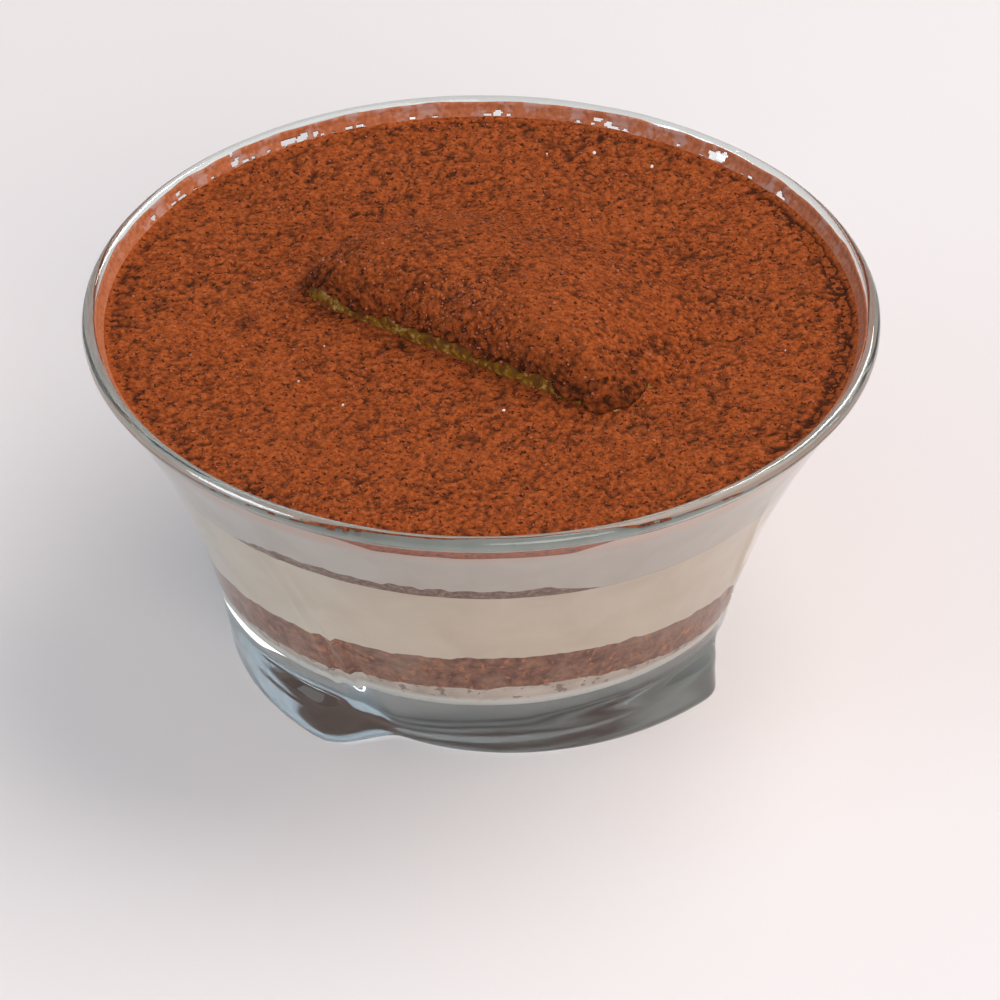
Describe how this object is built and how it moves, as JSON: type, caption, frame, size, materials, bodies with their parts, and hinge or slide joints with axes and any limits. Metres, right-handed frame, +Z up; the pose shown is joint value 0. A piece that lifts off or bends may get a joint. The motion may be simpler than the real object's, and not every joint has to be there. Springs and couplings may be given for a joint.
{
  "type": "tiramisu in a glass dessert bowl",
  "caption": "Layered tiramisu in a clear flared glass dessert bowl with a swirled foot, dusted with cocoa over a spooned quenelle of cream.",
  "frame": {"origin": "middle of the bowl's foot, on the plane that the bowl stands on", "axes": "+Z up along the bowl's axis, -Y towards the front, where the quenelle shows its bare foot"},
  "size_m": [0.1196, 0.1196, 0.062],
  "materials": {
    "clear_glass": "clear pressed glass with a faint grey-green tint, fire-polished rim",
    "cream": "smooth mascarpone cream, warm off-white, softly shiny",
    "soaked_biscuit": "coffee-soaked sponge biscuit, moist and crumbly",
    "cocoa": "dry sifted cocoa powder with darker clumps"
  },
  "bodies": {
    "root": {"glass_bowl": "clear_glass", "bottom_cream": "cream", "soaked_biscuit": "soaked_biscuit", "lower_cream": "cream", "cocoa_line": "cocoa", "upper_cream": "cream", "cream_quenelle": "cream", "cocoa_dusting": "cocoa"}
  },
  "joints": []
}
